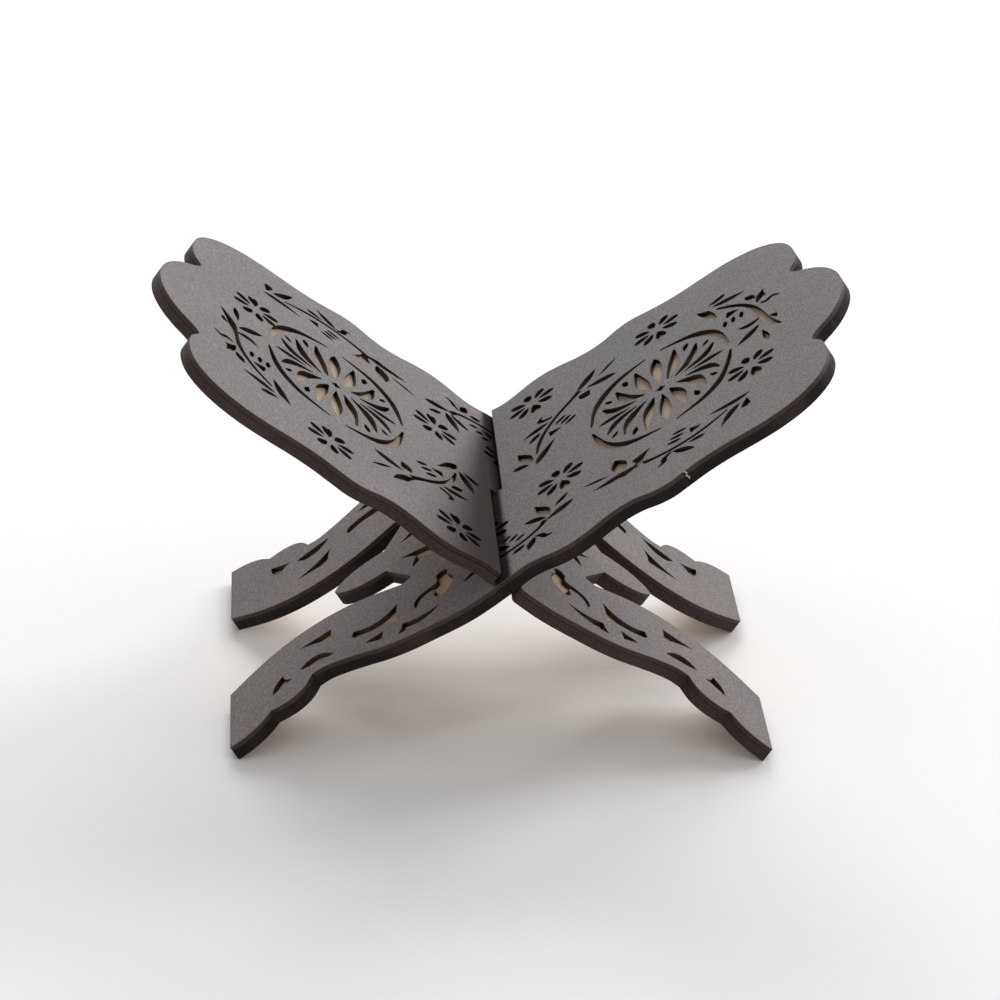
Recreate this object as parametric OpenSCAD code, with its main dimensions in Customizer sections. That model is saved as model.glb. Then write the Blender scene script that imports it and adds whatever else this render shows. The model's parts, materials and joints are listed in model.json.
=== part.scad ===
/* [Boards] */
// Depth over the feet, front to back; the outline and the fretwork follow it
depth = 215; // [160:5:280]
// Thickness of the lower ply, which carries the load
base_t = 5; // [3:0.5:6]
// Thickness of the upper ply, which is cut into fretwork
overlay_t = 2.5; // [1.5:0.5:3.5]

/* [Stance] */
// Angle between each board and the floor when the stand is open
tilt = 34.4; // [31:0.2:40]

/* [Half-lap slot] */
// Gap left where each edge of a slot comes to rest on the other board
slip = 0.03; // [0.02:0.01:0.2]
// Extra room on the slot's upper side, so that the boards slide together by hand
slot_play = 0.7; // [0:0.1:1.5]
// Radius of the corner where the slot opens beside the leg
mouth_r = 2.5; // [1:0.5:4]

/* [Smoothness] */
// Straight steps between two points of an outline
outline_steps = 6; // [3:1:10]
// Straight steps round a petal
petal_steps = 15; // [10:1:30]
// Straight steps along each side of a leaf
leaf_steps = 7; // [5:1:16]

/* [Hidden] */

// The plan of a board is drawn at this depth: u runs from the feet (-) to the panel's tip (+),
// y runs from front to back, and the fold axis is the line u = 0.
plan_depth = 215;
plan_scale = depth / plan_depth;
foot_u = -153.5;

board_t = base_t + overlay_t;
cross_angle = 2 * tilt;
// A board that crosses at this angle needs so much slot on each side of the fold axis
slot_half = board_t / 2 * (1 + cos(cross_angle)) / sin(cross_angle) + slip;
// The lower corner of each foot's end face stands on the floor, z = 0
axis_z = -foot_u * plan_scale * sin(tilt) + board_t / 2 * cos(tilt);

paint = [0.53, 0.51, 0.50];
fibreboard = [0.80, 0.69, 0.56];

// Smooth curves and outlines

// One point of a Catmull-Rom curve between b and c, at s from 0 to 1
function curve_point(a, b, c, d, s) =
    0.5 * (2 * b + (c - a) * s + (2 * a - 5 * b + 4 * c - d) * s ^ 2 + (3 * b - a - 3 * c + d) * s ^ 3);

// A smooth curve through the points p, from the first to the last
function curve(p, steps) =
    let (last = len(p) - 1)
    concat(
        [for (i = [0:last - 1], k = [0:steps - 1])
            curve_point(p[max(i - 1, 0)], p[i], p[i + 1], p[min(i + 2, last)], k / steps)],
        [p[last]]
    );

// The same points on the other side of y = 0, in the opposite order
function mirrored(p) = [for (i = [len(p) - 1:-1:0]) [p[i].x, -p[i].y]];

// A bow from a towards b that stands out by sag on the left, without b itself
function bow(a, b, sag, belly = 0.5) =
    let (along = b - a, left = [-along.y, along.x] / norm(along), power = ln(0.5) / ln(belly))
    [for (i = [0:leaf_steps - 1])
        let (s = i / leaf_steps, bulge = s ^ power)
        a + s * along + 4 * sag * bulge * (1 - bulge) * left];

// Unit vector to the left of the curve p at its point i
function left_of(p, i) =
    let (along = p[min(i + 1, len(p) - 1)] - p[max(i - 1, 0)])
    [-along.y, along.x] / norm(along);

// A closed leaf from tip a to tip b: each side bows out by its own amount, or in if negative
module leaf(a, b, left, right, belly = 0.5) {
    polygon(concat(bow(a, b, left, belly), bow(b, a, right, 1 - belly)));
}

// A closed shape with corners p, each side bowed out by its own amount, corners taken clockwise
module thorn(p, sags) {
    polygon([for (i = [0:len(p) - 1]) each bow(p[i], p[(i + 1) % len(p)], sags[i])]);
}

// A brush stroke along a smooth curve through p, as wide at each point as widths says
module stroke(p, widths) {
    c = curve(p, 4);
    w = curve([for (x = widths) [x, 0]], 4);
    polygon(concat(
        [for (i = [0:len(c) - 1]) c[i] + w[i].x / 2 * left_of(c, i)],
        [for (i = [len(c) - 1:-1:0]) c[i] - w[i].x / 2 * left_of(c, i)]
    ));
}

// A petal that points at the origin and is round at its outer end
module petal(start, end, width) {
    polygon([for (turn = [0:360 / petal_steps:359])
        [start + (end - start) * (1 - cos(turn)) / 2, width * 0.55 * sin(turn) * sin(turn / 2) ^ 0.7]]);
}

// Outline of one board

tongue = curve([[-92, 0], [-89, 4.8], [-83.5, 9], [-77, 11.6], [-70, 12.7], [-62.5, 12.7]], outline_steps);
gap_end = curve([[-49.3, 36], [-48.7, 37.6], [-49.6, 39.3], [-52, 40.4], [-54.5, 40.8]], 3);
leg_inside = curve([[-54.5, 40.8], [-64, 35.8], [-74, 30.8], [-85, 27], [-96, 25], [-107, 24.9],
                    [-118, 26.6], [-129, 30.6], [-140, 36.9], [foot_u, 47]], outline_steps);
foot_scroll = curve([[foot_u, 107.3], [-147, 106.6], [-140.5, 104.1], [-135, 100], [-130, 94]],
                    outline_steps);
ankle_scroll = curve([[-130, 94], [-124, 95], [-117.5, 94.3], [-112, 91], [-108.7, 86], [-106.6, 81]],
                     outline_steps);
leg_outside = [[-106.6, 81], [-100, 80.7], [-91, 84.6], [-80, 91], [-68, 98.6], [-55, 104.4], [-42, 108],
               [-30, 111], [-20, 112.3], [-10, 111.4], [0, 109.3]];
panel_edge = [[12, 106.3], [20, 107.8], [29, 111.4], [38, 112.7], [48, 110.7], [57, 107.4], [66, 106],
              [74, 107.4], [82, 111.2], [90, 112.8], [99, 110.8], [109, 108.6], [120, 108], [131, 108.9],
              [142, 109.6], [152, 108.8], [163, 105.2], [172, 98.8], [178.5, 90], [181.8, 80], [182.9, 69],
              [181.6, 58], [177.6, 49.2], [181, 43], [187, 37.3], [192.6, 30], [197, 21], [199.8, 11]];
panel_tip = [[200.7, 0]];
side = curve(concat(leg_outside, panel_edge, panel_tip, mirrored(panel_edge), mirrored(leg_outside)),
             outline_steps);
near_half = concat(tongue, gap_end, leg_inside, foot_scroll, ankle_scroll);
outline = concat(near_half, side, mirrored(near_half));

// The slot from the middle of the board to its back edge, for the other board to pass through
module slot() {
    low = -slot_half;
    high = slot_half + slot_play;
    past_edge = 118 * plan_scale;
    corner = [low - mouth_r, 111.2 * plan_scale - mouth_r];
    translate([low, -slip])
        square([high - low, past_edge + slip]);
    // The rounded corner beside the leg leaves the board at a shallow angle
    polygon(concat(
        [for (turn = [0:15:75]) corner + mouth_r * [cos(turn), sin(turn)]],
        [corner + mouth_r * [cos(75) - sin(75), sin(75) + cos(75)], [corner.x, past_edge], [high, past_edge]]
    ));
}

module board_plan() {
    difference() {
        scale(plan_scale)
            polygon(outline);
        slot();
    }
}

// Fretwork, drawn at plan_depth

// Eight petals; the one that points down ends in two lobes, like a heart
module flower(centre) {
    inner = 4;
    translate(centre) {
        for (tip = [[11, 13.4], [58, 13], [103, 12.4], [149, 13.8], [193, 13.6], [236, 13.8], [325, 13.8]])
            rotate(tip.x)
                petal(inner, tip.y, 5.3);
        for (lobe = [-1, 1])
            rotate(279 + 6.5 * lobe)
                petal(inner + 0.4, 14, 4);
        rotate(279)
            petal(inner - 0.6, 11.5, 3.6);
    }
}

// Three short dashes with round ends, side by side, from first towards last
module dashes(first, last, along, width) {
    for (i = [0:2])
        polygon([for (turn = [0:30:330])
            first + (last - first) * i / 2 + along / 2 * cos(turn)
            + [-along.y, along.x] / norm(along) * width / 2 * sin(turn)]);
}

module upper_spray() {
    stroke([[27.4, 15.5], [29.4, 26], [33.8, 36.8], [41.4, 47.5], [50.3, 56.2], [55.6, 61.5]],
           [1.2, 2.6, 2.6, 2.6, 3, 4]);
    leaf([53.8, 61.4], [66.6, 77.5], 2.4, 3, 0.5);
    leaf([67, 65.4], [79, 75.8], 1.1, 1.2);
    leaf([59.5, 60.2], [77.4, 55.6], 3.2, 2.4, 0.55);
    thorn([[55, 55.6], [61.2, 55.6], [61, 48.6], [56.2, 49.6]], [0.3, 0.3, 0.6, 0.8]);
    stroke([[33.8, 57.8], [31.5, 54.4], [33.8, 51.5], [38.6, 50]], [0.8, 2.8, 2.8, 2.2]);
    leaf([21, 42.8], [36.6, 46], 2.6, 2, 0.55);
    leaf([24, 33.2], [31.2, 39.6], 2, 2.2);
    dashes([43, 40.2], [48.4, 32.8], [6.4, 4.8], 2.9);
    thorn([[35.5, 33.4], [43.2, 30.8], [36, 27]], [0, 0.4, 0]);
    leaf([17, 28.4], [25, 9.8], 2.6, 3.2, 0.55);
    leaf([13, 12.4], [22.6, 7.4], 2.8, 1.8, 0.4);
    leaf([26.4, 2.8], [39, 21.8], 3.4, 1.9, 0.35);
}

module outer_spray() {
    stroke([[136.2, 57.2], [144.3, 49.2], [151, 39.5], [155.3, 28], [157.6, 15], [159.6, 4], [165.8, -8.5]],
           [2, 2.6, 2.6, 3.2, 4.2, 5, 0.8]);
    thorn([[125.4, 67.4], [131.9, 61.8], [135.2, 45.6]], [-0.4, 0.9, 1.7]);
    leaf([134, 63.8], [152.8, 58.4], 1.8, 3.1, 0.45);
    leaf([131.8, 67], [142.6, 70.8], 1.3, 3, 0.6);
    leaf([151.6, 50], [156.8, 41.6], 2.2, 2.2);
    thorn([[157, 33.4], [162.6, 47], [162.9, 37.8]], [2.8, -0.9, -0.7]);
    stroke([[158.6, 31.4], [161.9, 29.6], [165.4, 31.4], [169, 28]], [1.6, 3, 2.5, 0.8]);
    dashes([138.2, 31.5], [147.6, 31.3], [0.5, 7.4], 2.7);
    thorn([[139.8, 37.4], [140.8, 44.6], [147, 39.6]], [0.5, 0.6, 0]);
    leaf([143.4, 16.2], [157.4, 14.6], -1, 5.4, 0.5);
    leaf([141, -4.4], [155.4, 6.4], 2.2, 3.2);
    leaf([155.6, -2.6], [157.6, -19.4], 1.6, 1.8, 0.6);
    leaf([161, 9.4], [164.4, 2.4], 2.6, 0.2);
}

module lower_spray() {
    stroke([[76, -70], [80, -72.6], [90, -76.2], [102, -77.8], [115, -76.2], [128, -71.2]],
           [5, 3.6, 2.7, 2.7, 2.7, 1.4]);
    leaf([53, -70.2], [78.2, -70.6], 2, 3.1, 0.55);
    thorn([[66, -72.6], [77, -71.6], [77, -73], [70.4, -75.2]], [0, 0, 0, 0]);
    leaf([67, -50.2], [71.4, -67], 3.4, 5, 0.55);
    leaf([48.4, -58.4], [62.8, -63.8], 1, 1.4);
    thorn([[75.6, -63.2], [86.2, -60.2], [80.4, -71.2], [77.8, -69.4]], [0.3, -0.6, 0, 0.2]);
    dashes([102.2, -62.3], [98.4, -70.4], [7.6, -2], 2.9);
    thorn([[107.4, -65.8], [113.8, -69.2], [107.4, -72.2]], [0, 0.4, 0]);
    leaf([117.4, -64.2], [141.4, -66], 0.8, 3.5, 0.6);
    leaf([122.4, -86.8], [134.8, -72], 3.5, 1.4, 0.6);
    thorn([[134.6, -78.4], [138.8, -71], [140, -79.2]], [0.4, 0.2, 1.7]);
    stroke([[87.6, -88.4], [91, -86.6], [91.8, -82.6], [95.8, -79.8]], [1, 3, 3.4, 1.6]);
    leaf([96.2, -79.8], [108, -91.4], 2.2, 2.3, 0.5);
    leaf([104.6, -80.8], [114.6, -82.8], 1.7, 1.9, 0.6);
}

module crossing_spray() {
    stroke([[26.2, -68.8], [22.4, -73.6], [13, -78.2], [0, -80], [-10, -76.4]], [3.8, 2.7, 2.6, 2.4, 1.4]);
    leaf([26, -69.8], [42.6, -64], 2.5, 3.2, 0.6);
    leaf([22, -46.6], [29.2, -65], 3, 2.9, 0.6);
    leaf([15, -59], [27, -67.4], 3, 1.6, 0.45);
    leaf([32.4, -59.8], [40.4, -52.8], 1.8, 1.8);
    dashes([4.8, -63.8], [12, -71.4], [4.8, 3.2], 2.8);
    thorn([[0, -74.8], [0.4, -67.8], [6.4, -74.8]], [0.2, 0.7, 0]);
    leaf([6.6, -85.7], [14, -82.6], 1.9, 2.2);
    leaf([15.4, -91.8], [19.4, -80.8], 2.6, 2.3);
    stroke([[19.8, -80.8], [23, -83], [25.2, -87], [28.8, -88.4]], [1, 2.8, 2.8, 1]);
    leaf([-9, -72.6], [-18, -62.4], 1.8, 1.8);
    leaf([-11, -76.6], [-21, -82.6], 1.6, 1.8);
}

// Oval medallion: two palmettes of broad curved leaves and buds, tip to tip, in a ring of four crescents
module medallion(centre) {
    translate(centre) {
        thorn([[-3, 0], [0, 3.4], [3, 0], [0, -3.4]], [-0.3, -0.3, -0.3, -0.3]);
        for (flip_u = [0, 1], flip_y = [0, 1])
            mirror([flip_u, 0, 0])
                mirror([0, flip_y, 0]) {
                    stroke([[4.4, 47.6], [22, 41.4], [34, 27], [39.6, 4.4]], [1.2, 4.6, 4.6, 1.2]);
                    stroke([[4.6, 6.2], [8.8, 19], [11.4, 38]], [1, 6.6, 1.2]);
                    stroke([[8.8, 4.2], [18.6, 13.6], [23.2, 29]], [1, 6.2, 1.2]);
                    stroke([[14, 3.2], [25.6, 7.6], [32, 16.8]], [1, 5.2, 1.2]);
                    leaf([16.4, 27.4], [18.4, 36], 1.7, 1.7, 0.6);
                    leaf([26, 19], [29.8, 24.2], 1.4, 1.4, 0.6);
                    if (flip_u == 0)
                        leaf([0, 7], [0, 41.4], 3.4, 3.4, 0.6);
                    if (flip_y == 0)
                        leaf([17, 0], [36, 0], 2.2, 2.2, 0.6);
                }
    }
}

// A round head, a full body below it and a tail that curls away from the body's shoulder
hook = [[-47.8, -78.6], [-48.2, -73], [-45.6, -67.6], [-40, -65], [-35.6, -64], [-34.4, -61.2], [-35, -57.2],
        [-33.2, -54.2], [-30, -54.2], [-28.4, -57], [-29, -60.6], [-27.2, -64], [-25.8, -69], [-27, -75],
        [-31.4, -80.6], [-35, -80.4], [-37, -76.6], [-36.2, -72], [-37.6, -70], [-42, -70.6], [-45.4, -73.8],
        [-46.9, -78.6]];

module leg_fretwork() {
    thorn([[-129, -78.2], [-123, -62.8], [-117.6, -72]], [2, -1.6, -0.5]);
    leaf([-113.4, -67.8], [-94, -72.6], 7.6, 0.9, 0.4);
    thorn([[-113.4, -43.4], [-95, -42.4], [-93.2, -57.2]], [0.2, -0.8, -1.6]);
    thorn([[-82.2, -62], [-57.2, -60.2], [-58.2, -80.8], [-64, -75.8], [-80.8, -70.6]],
          [-6, -0.6, -1, 0.8, 1.8]);
    thorn([[-76.6, -82.8], [-66, -82], [-67.2, -90]], [0.2, -0.2, 0.2]);
    thorn([[-58.2, -96], [-55.2, -87], [-34, -90.4]], [-0.4, -2.4, 3.8]);
    polygon(curve(hook, 3));
    thorn([[-53.6, -9.4], [-38.6, -12.8], [-35.4, -28], [-40.8, -22.6], [-47, -28.8], [-44.6, -17.4]],
          [0.6, 0.6, -0.4, -0.4, 0.8, -0.6]);
}

// All the cuts of one board. The groups are cut at slightly different places on the two boards, so each
// is moved towards the back of its own board by this much: inner cuts, outer cuts, near leg and far leg.
module fretwork(moved) {
    translate([0, moved[0]]) {
        flower([37.6, -31.4]);
        flower([-6, -46.5]);
        upper_spray();
        lower_spray();
        crossing_spray();
        medallion([98, 2]);
    }
    translate([0, moved[1]]) {
        flower([29.1, 84]);
        flower([102.9, 79]);
        flower([145.1, -36.4]);
        outer_spray();
    }
    translate([0, moved[2]])
        leg_fretwork();
    translate([0, moved[3]])
        mirror([0, 1, 0])
            leg_fretwork();
}

// Boards in place

// Stands a flat board of either side on its feet: turn 0 has its panel on the right, 180 on the left
module stand_up(turn) {
    rotate([0, 0, turn])
        translate([0, 0, axis_z])
            rotate([0, -tilt, 0])
                translate([0, 0, -board_t / 2])
                    children();
}

module base_ply() {
    linear_extrude(base_t)
        board_plan();
}

module fretwork_ply(moved) {
    translate([0, 0, base_t])
        linear_extrude(overlay_t)
            difference() {
                board_plan();
                scale(plan_scale)
                    fretwork(moved);
            }
}

module right_base_board() {
    color(fibreboard)
        stand_up(0)
            base_ply();
}

module right_fretwork_overlay() {
    color(paint)
        stand_up(0)
            fretwork_ply([0, 0, 0, 0.8]);
}

module left_base_board() {
    color(fibreboard)
        stand_up(180)
            base_ply();
}

module left_fretwork_overlay() {
    color(paint)
        stand_up(180)
            fretwork_ply([-4.6, 0, -2.8, -1.8]);
}

right_base_board();
right_fretwork_overlay();
left_base_board();
left_fretwork_overlay();
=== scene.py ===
"""A folding book stand: two crossing MDF boards with a grey painted fretwork face, on a plain pale floor."""

import json
import math

import bpy
from mathutils import Matrix, Vector

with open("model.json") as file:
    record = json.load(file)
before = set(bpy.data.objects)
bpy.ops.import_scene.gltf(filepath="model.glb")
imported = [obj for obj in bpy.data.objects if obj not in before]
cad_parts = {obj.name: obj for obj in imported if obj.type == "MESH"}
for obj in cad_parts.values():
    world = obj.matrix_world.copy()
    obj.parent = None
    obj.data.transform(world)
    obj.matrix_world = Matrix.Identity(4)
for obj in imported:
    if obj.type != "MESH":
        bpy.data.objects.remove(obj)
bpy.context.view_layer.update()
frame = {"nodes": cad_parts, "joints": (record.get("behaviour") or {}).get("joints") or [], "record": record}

MM = 0.001

# Where each board's painted face looks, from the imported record
MOUNT_AXES = {m["name"]: Vector(m["axis"]) for m in frame["record"]["mounts"]}
BOARDS = {
    "right": MOUNT_AXES["right_panel_face"],
    "left": MOUNT_AXES["left_panel_face"],
}
AXIS_POINT = Vector(frame["joints"][0]["pos_m"])
# The glue line between the two plies and the painted face, measured through a board from its middle
GLUE_LINE = 1.25
PAINTED_FACE = 3.75
# The crack in the right board's front edge, measured along the board from the crossing
CRACK_AT = 100.0
# Only points nearer than this are on the boards' front edge
FRONT_EDGE_Y = -90.0
# Darker paint stands in for the deep shadow beside the crossing: a band on both boards, darkest up to the
# first distance and gone at the second, and a soft patch on the left panel, this wide halfway from front to
# back and narrower by this much for each mm further back
CONTACT = (3.2, 6.6)
PAINTED_SHADOW_REACH = 33.5
PAINTED_SHADOW_TAPER = 0.26

# Colours, linear. The paint is smoked beside each cut, and darkened on the left panel beside the crossing as
# painted shadow.
PAINT_WARM = (0.150, 0.128, 0.125, 1)
PAINT_COOL = (0.134, 0.122, 0.122, 1)
PAINT_SMOKED = (0.076, 0.058, 0.053, 1)
PAINT_IN_PAINTED_SHADOW = (0.041, 0.031, 0.030, 1)
OVERLAY_EDGE = (0.051, 0.034, 0.031, 1)
# The right board's base edge is painted darker than the left's: painted shade on the same MDF edge
BASE_EDGES_WITH_PAINTED_SHADE = {"right": (0.0115, 0.0078, 0.0075, 1), "left": (0.047, 0.031, 0.029, 1)}
EDGE_WORN = (0.062, 0.044, 0.040, 1)
EDGE_RUBBED = (0.115, 0.088, 0.078, 1)
EDGE_RIM = (0.200, 0.168, 0.156, 1)
# Char of the glue line and the crack, and also painted shade on the walls of narrow cuts
CHAR_AND_PAINTED_SHADE = (0.006, 0.0042, 0.004, 1)
BARE_WOOD = (0.52, 0.46, 0.42, 1)
RAW_MDF = (0.46, 0.355, 0.265, 1)
RAW_MDF_DARK = (0.34, 0.25, 0.17, 1)

# Specular level of the paint and the wood, their roughness, and how deep their grain is
SHINE = 0.25
PAINT_ROUGHNESS = 0.7
PAINT_GRAIN_DEPTH = 0.16
WOOD_ROUGHNESS = 0.85
WOOD_FIBRE_DEPTH = 0.04


# --- Camera, floor and light ---------------------------------------------------------------------


def add_camera():
    """Looks down at the stand from the front and a little from the left, with a slight roll."""
    azimuth, elevation, roll = (math.radians(a) for a in (-3.507, 21.729, 1.670))
    distance = 2.2625
    target = Vector((0.0021, 0, 0.0902))
    forward = Vector(
        (
            -math.sin(azimuth) * math.cos(elevation),
            math.cos(azimuth) * math.cos(elevation),
            -math.sin(elevation),
        )
    )
    right = Vector((math.cos(azimuth), math.sin(azimuth), 0))
    up = right.cross(forward)
    rolled_right = math.cos(roll) * right + math.sin(roll) * up
    rolled_up = math.cos(roll) * up - math.sin(roll) * right
    data = bpy.data.cameras.new("camera")
    data.sensor_width = 36
    data.lens = 166.63
    data.clip_end = 50
    camera = bpy.data.objects.new("camera", data)
    rotation = Matrix((rolled_right, rolled_up, -forward)).transposed().to_4x4()
    camera.matrix_world = Matrix.Translation(target - distance * forward) @ rotation
    bpy.context.scene.collection.objects.link(camera)
    bpy.context.scene.camera = camera


FLOOR_SIZE = 16
FLOOR_WHITE = (0.94, 0.94, 0.94, 1)


def add_floor():
    bpy.ops.mesh.primitive_plane_add(size=FLOOR_SIZE, location=(0, 0, 0))
    floor = bpy.context.object
    floor.name = "floor"
    material = bpy.data.materials.new("pale_floor")
    material.use_nodes = True
    shader = material.node_tree.nodes["Principled BSDF"]
    shader.inputs["Base Color"].default_value = FLOOR_WHITE
    shader.inputs["Roughness"].default_value = 0.9
    shader.inputs["Specular IOR Level"].default_value = 0.1
    floor.data.materials.append(material)


# Square softboxes behind the stand: name, place, size in metres and power
SOFTBOXES = (
    ("back_softbox", (0, 5.5, 2.65), 3.0, 280),
    ("back_right_softbox", (3.9, 3.9, 2.65), 3.0, 190),
)
STUDIO_STRENGTH = 0.54


def add_light():
    middle_of_stand = Vector((0, 0, 0.1))
    for name, place, size, power in SOFTBOXES:
        data = bpy.data.lights.new(name, "AREA")
        data.size = size
        data.energy = power
        light = bpy.data.objects.new(name, data)
        light.location = place
        light.rotation_euler = (Vector(place) - middle_of_stand).to_track_quat("Z", "Y").to_euler()
        bpy.context.scene.collection.objects.link(light)
    world = bpy.data.worlds.new("studio")
    world.use_nodes = True
    background = world.node_tree.nodes["Background"]
    background.inputs["Color"].default_value = (1, 1, 1, 1)
    background.inputs["Strength"].default_value = STUDIO_STRENGTH
    bpy.context.scene.world = world
    bpy.context.scene.view_settings.view_transform = "Standard"


# --- Shader building -----------------------------------------------------------------------------


class Shader:
    """A material's node tree, with short names for the nodes used here. Lengths are in millimetres."""

    def __init__(self, name):
        self.material = bpy.data.materials.new(name)
        self.material.use_nodes = True
        self.tree = self.material.node_tree
        self.principled = self.tree.nodes["Principled BSDF"]

    def node(self, kind, inputs, **settings):
        made = self.tree.nodes.new(kind)
        for key, value in settings.items():
            setattr(made, key, value)
        for key, value in inputs.items():
            if isinstance(value, bpy.types.NodeSocket):
                self.tree.links.new(value, made.inputs[key])
            else:
                made.inputs[key].default_value = value
        return made

    def math(self, operation, a, b=0.0, clamp=False):
        return self.node("ShaderNodeMath", {0: a, 1: b}, operation=operation, use_clamp=clamp).outputs[0]

    def vector(self, operation, a, b):
        made = self.node("ShaderNodeVectorMath", {0: a, 1: b}, operation=operation)
        return made.outputs["Value" if operation == "DOT_PRODUCT" else "Vector"]

    def ramp(self, value, low, high, out_low=0.0, out_high=1.0):
        """value from low to high, taken smoothly to out_low to out_high and held there."""
        inputs = {"Value": value, "From Min": low, "From Max": high, "To Min": out_low, "To Max": out_high}
        return self.node("ShaderNodeMapRange", inputs, interpolation_type="SMOOTHSTEP").outputs["Result"]

    def mix(self, factor, a, b):
        made = self.node("ShaderNodeMix", {0: factor, 6: a, 7: b}, data_type="RGBA")
        return made.outputs[2]

    def noise(self, position, size, detail=2.0, roughness=0.5):
        """Noise from about 0.3 to 0.7, with features of this size."""
        inputs = {"Vector": position, "Scale": 1 / size, "Detail": detail, "Roughness": roughness}
        return self.node("ShaderNodeTexNoise", inputs).outputs[0]

    def near_edge(self, distance):
        """1 at a cut edge of this piece, falling to 0 at this distance from it."""
        inputs = {"Distance": distance * MM}
        made = self.node("ShaderNodeAmbientOcclusion", inputs, inside=True, only_local=True, samples=6)
        return self.math("SUBTRACT", 1.0, made.outputs["AO"], clamp=True)

    def recess_for_painted_shade(self, distance):
        """1 deep inside a narrow cut of this piece, 0 where nothing of it stands within this distance; the
        mask for painted shade in the cuts.
        """
        inputs = {"Distance": distance * MM}
        made = self.node("ShaderNodeAmbientOcclusion", inputs, only_local=True, samples=6)
        return self.ramp(made.outputs["AO"], 0.6, 0.95, 1.0, 0.0)

    def shaded(self, color, factor):
        """color times factor."""
        grey = self.node("ShaderNodeCombineXYZ", {0: factor, 1: factor, 2: factor}).outputs[0]
        if not isinstance(color, bpy.types.NodeSocket):
            color = color[:3]
        return self.vector("MULTIPLY", color, grey)

    def finish(self, color, bump_height, bump_depth, roughness, shine):
        """The finished material; shine is a number or a socket."""
        inputs = {"Height": bump_height, "Strength": 1.0, "Distance": bump_depth * MM}
        bump = self.node("ShaderNodeBump", inputs)
        self.tree.links.new(color, self.principled.inputs["Base Color"])
        self.tree.links.new(bump.outputs["Normal"], self.principled.inputs["Normal"])
        self.principled.inputs["Roughness"].default_value = roughness
        if isinstance(shine, bpy.types.NodeSocket):
            self.tree.links.new(shine, self.principled.inputs["Specular IOR Level"])
        else:
            self.principled.inputs["Specular IOR Level"].default_value = shine
        return self.material


class BoardShader(Shader):
    """A shader that knows a board's own directions: u along it, y across it, v through it."""

    def __init__(self, name, facing, seed):
        super().__init__(name)
        place = self.node("ShaderNodeTexCoord", {})
        along = Vector((facing.z, 0, -facing.x))
        from_axis = self.vector("SUBTRACT", place.outputs["Object"], AXIS_POINT)
        in_mm = self.vector("MULTIPLY", from_axis, (1000, 1000, 1000))
        self.u = self.vector("DOT_PRODUCT", in_mm, along)
        self.v = self.vector("DOT_PRODUCT", in_mm, facing)
        self.y = self.vector("DOT_PRODUCT", in_mm, (0, 1, 0))
        self.position = self.vector("ADD", in_mm, (seed * 137.0, seed * 71.0, seed * 29.0))
        self.facing = self.vector("DOT_PRODUCT", place.outputs["Normal"], facing)
        self.is_top = self.math("GREATER_THAN", self.facing, 0.7)
        self.is_side = self.math("LESS_THAN", self.math("ABSOLUTE", self.facing), 0.7)

    def stretched(self, across):
        """The position, this many times longer through the board, so that noise runs along the sheet."""
        coordinates = {0: self.u, 1: self.y, 2: self.math("MULTIPLY", self.v, across)}
        return self.node("ShaderNodeCombineXYZ", coordinates).outputs[0]


def edge_streaks(shader, color):
    """A laser-cut edge of this colour: streaks along the sheet, with small lighter rubbed spots."""
    streaks = shader.noise(shader.stretched(7.0), 2.6, 3.0, 0.6)
    patches = shader.noise(shader.position, 11.0, 2.0)
    specks = shader.noise(shader.stretched(2.5), 0.9, 2.0)
    color = shader.shaded(color, shader.ramp(streaks, 0.3, 0.7, 0.72, 1.28))
    rubbed = shader.math("MULTIPLY", shader.ramp(patches, 0.54, 0.7), shader.ramp(specks, 0.5, 0.68))
    return shader.mix(shader.math("MULTIPLY", rubbed, 0.45), color, EDGE_RUBBED)


def on_line(shader, across, offset, half_width):
    """1 within half_width of the line at this offset across."""
    made = shader.math("COMPARE", across, offset)
    made.node.inputs[2].default_value = half_width
    return made


def cracked(shader, edge):
    """The edge with a jagged crack at the front of the board: dark, with bare wood beside it."""
    jag = shader.math("PINGPONG", shader.math("ADD", shader.v, 10.0), 1.25)
    across = shader.math(
        "ADD", shader.math("SUBTRACT", shader.u, CRACK_AT), shader.math("MULTIPLY", jag, 0.7)
    )
    in_front = shader.math("LESS_THAN", shader.y, FRONT_EDGE_Y)
    dark = on_line(shader, across, 0.0, 0.7)
    pale = on_line(shader, across, 0.45, 0.35)
    edge = shader.mix(shader.math("MULTIPLY", dark, in_front), edge, CHAR_AND_PAINTED_SHADE)
    broken = shader.math("GREATER_THAN", shader.noise(shader.position, 0.9, 1.0), 0.42)
    pale = shader.math("MULTIPLY", shader.math("MULTIPLY", pale, broken), in_front)
    pale = shader.math("MULTIPLY", pale, shader.math("GREATER_THAN", shader.v, -1.0))
    return shader.mix(pale, edge, BARE_WOOD)


def raw_fibres(shader):
    """Bare MDF: beige, with short fibres and darker flecks."""
    fibres = shader.noise(shader.position, 0.7, 4.0, 0.65)
    clouds = shader.noise(shader.position, 14.0, 2.0)
    shade = shader.math("ADD", shader.math("MULTIPLY", fibres, 0.7), shader.math("MULTIPLY", clouds, 0.5))
    return shader.mix(shader.ramp(shade, 0.42, 0.72), RAW_MDF_DARK, RAW_MDF), fibres


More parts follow.
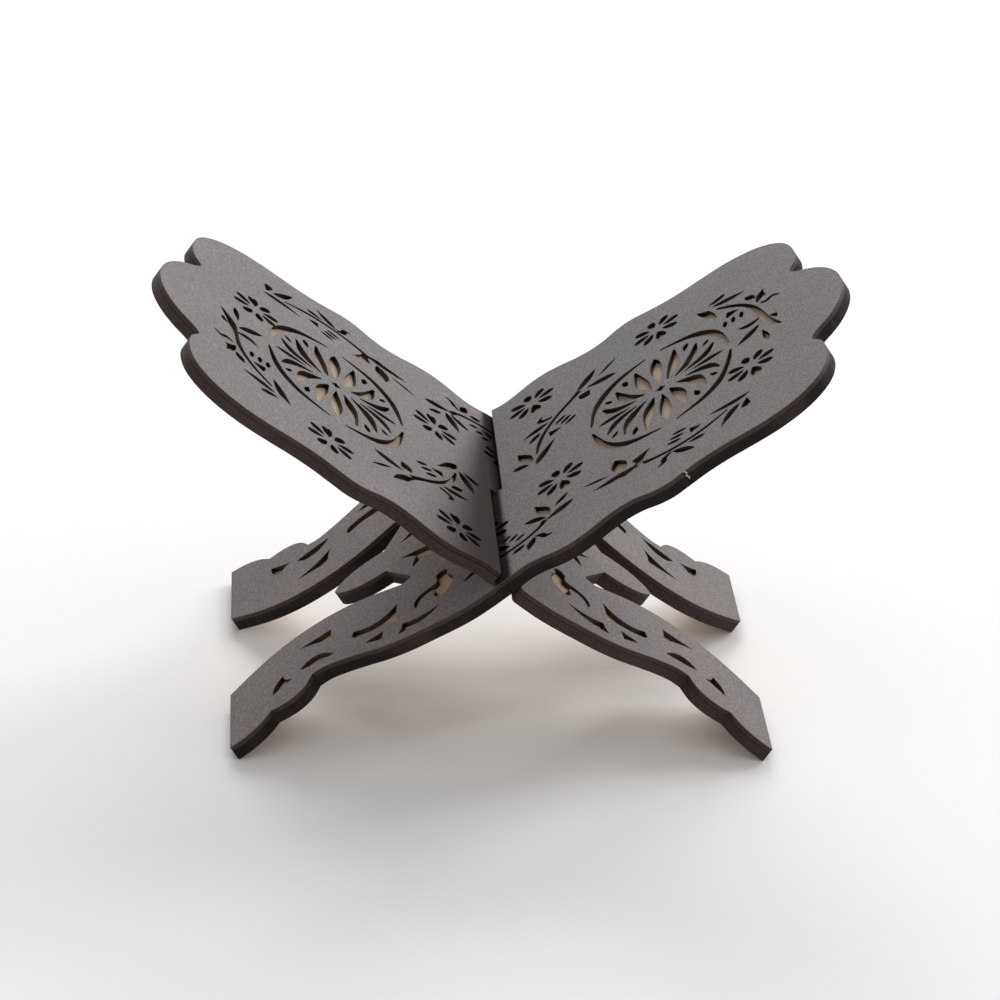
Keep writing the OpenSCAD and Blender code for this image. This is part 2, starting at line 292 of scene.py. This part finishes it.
def darkened_by_crossing(shader, side, paint):
    """The paint and its shine, both darkened beside the crossing as painted shade, as told at CONTACT."""
    from_fold = shader.math("ABSOLUTE", shader.u)
    paint = shader.shaded(paint, shader.ramp(from_fold, *CONTACT, 0.15, 1.0))
    shine = shader.ramp(from_fold, *CONTACT, 0.0, SHINE)
    # Painted shadow: the left panel beside the crossing gets darker paint and loses its shine
    if side == "left":
        reach = shader.math("SUBTRACT", PAINTED_SHADOW_REACH, shader.math("MULTIPLY", shader.y, PAINTED_SHADOW_TAPER))
        on_panel = shader.math("LESS_THAN", shader.u, 0.0)
        painted_shadow = shader.ramp(shader.math("DIVIDE", from_fold, reach), 0.3, 1.05, 0.95, 0.0)
        painted_shadow = shader.math("MULTIPLY", painted_shadow, on_panel)
        paint = shader.mix(painted_shadow, paint, PAINT_IN_PAINTED_SHADOW)
        shine = shader.math("MULTIPLY", shine, shader.math("SUBTRACT", 1.0, painted_shadow))
    return paint, shine


def painted_overlay(side, facing, seed):
    """Matt grey paint on the upper face, smoked by the laser beside every cut; scorched edges; raw back."""
    shader = BoardShader(f"{side}_painted_mdf", facing, seed)
    grain = shader.noise(shader.position, 1.15, 2.0, 0.7)
    mottle = shader.noise(shader.position, 3.0, 2.0)
    clouds = shader.noise(shader.position, 45.0, 2.0)
    paint = shader.mix(shader.ramp(clouds, 0.35, 0.65), PAINT_COOL, PAINT_WARM)
    paint = shader.shaded(paint, shader.ramp(grain, 0.36, 0.64, 0.66, 1.34))
    paint = shader.shaded(paint, shader.ramp(mottle, 0.3, 0.7, 0.94, 1.06))
    smoke = shader.math("MULTIPLY", shader.near_edge(1.8), shader.ramp(mottle, 0.3, 0.7, 0.35, 0.8))
    paint = shader.mix(smoke, paint, PAINT_SMOKED)
    paint, shine = darkened_by_crossing(shader, side, paint)
    edge = edge_streaks(shader, OVERLAY_EDGE)
    edge = shader.mix(shader.ramp(shader.v, GLUE_LINE, GLUE_LINE + 0.5, 0.8, 0.0), edge, CHAR_AND_PAINTED_SHADE)
    edge = shader.mix(shader.ramp(shader.v, PAINTED_FACE - 0.45, PAINTED_FACE, 0.0, 0.45), edge, EDGE_RIM)
    # Painted shade: the edge walls deep inside narrow cuts are darkened to near black
    edge = shader.mix(shader.recess_for_painted_shade(6.0), edge, CHAR_AND_PAINTED_SHADE)
    if side == "right":
        edge = cracked(shader, edge)
    color = shader.mix(shader.is_side, raw_fibres(shader)[0], edge)
    color = shader.mix(shader.is_top, color, paint)
    return shader.finish(color, grain, PAINT_GRAIN_DEPTH, PAINT_ROUGHNESS, shine)


def raw_base(side, facing, seed):
    """Bare MDF above and below, with laser-charred edges; the right board's edge is painted darker as shade.
    """
    shader = BoardShader(f"{side}_raw_mdf", facing, seed)
    raw, fibres = raw_fibres(shader)
    smoke = shader.math("MULTIPLY", shader.near_edge(3.0), 0.8)
    raw = shader.mix(smoke, raw, OVERLAY_EDGE)
    tone = shader.noise(shader.position, 35.0, 2.0)
    edge = shader.mix(shader.ramp(tone, 0.5, 0.7, 0.0, 0.5), BASE_EDGES_WITH_PAINTED_SHADE[side], EDGE_WORN)
    edge = edge_streaks(shader, edge)
    edge = shader.mix(shader.ramp(shader.v, GLUE_LINE - 0.5, GLUE_LINE, 0.0, 0.8), edge, CHAR_AND_PAINTED_SHADE)
    if side == "right":
        edge = cracked(shader, edge)
    color = shader.mix(shader.is_side, raw, edge)
    return shader.finish(color, fibres, WOOD_FIBRE_DEPTH, WOOD_ROUGHNESS, SHINE)


# --- The boards ----------------------------------------------------------------------------------


def smooth_by_angle():
    """A modifier group that joins the faces, shades them smooth and keeps real corners sharp."""
    group = bpy.data.node_groups.new("smooth_by_angle", "GeometryNodeTree")
    group.interface.new_socket("Geometry", in_out="INPUT", socket_type="NodeSocketGeometry")
    group.interface.new_socket("Geometry", in_out="OUTPUT", socket_type="NodeSocketGeometry")
    nodes, links = group.nodes, group.links
    start = nodes.new("NodeGroupInput")
    merge = nodes.new("GeometryNodeMergeByDistance")
    merge.inputs["Distance"].default_value = 0.005 * MM
    plain = nodes.new("GeometryNodeRemoveAttribute")
    plain.inputs["Name"].default_value = "custom_normal"
    faces = nodes.new("GeometryNodeSetShadeSmooth")
    angle = nodes.new("GeometryNodeInputMeshEdgeAngle")
    gentle = nodes.new("ShaderNodeMath")
    gentle.operation = "LESS_THAN"
    gentle.inputs[1].default_value = math.radians(32)
    edges = nodes.new("GeometryNodeSetShadeSmooth")
    edges.domain = "EDGE"
    end = nodes.new("NodeGroupOutput")
    links.new(start.outputs[0], plain.inputs["Geometry"])
    links.new(plain.outputs["Geometry"], merge.inputs["Geometry"])
    links.new(merge.outputs["Geometry"], faces.inputs["Geometry"])
    links.new(faces.outputs["Geometry"], edges.inputs["Geometry"])
    links.new(angle.outputs["Unsigned Angle"], gentle.inputs[0])
    links.new(gentle.outputs[0], edges.inputs["Shade Smooth"])
    links.new(edges.outputs["Geometry"], end.inputs[0])
    return group


def dress(node, material, smoothing):
    piece = frame["nodes"][node]
    piece.data.materials.clear()
    piece.data.materials.append(material)
    piece.modifiers.new("smooth_by_angle", "NODES").node_group = smoothing


def add_boards():
    smoothing = smooth_by_angle()
    for seed, (side, facing) in enumerate(BOARDS.items()):
        dress(f"{side}_base_board", raw_base(side, facing, seed), smoothing)
        dress(f"{side}_fretwork_overlay", painted_overlay(side, facing, seed), smoothing)


add_camera()
add_floor()
add_light()
add_boards()
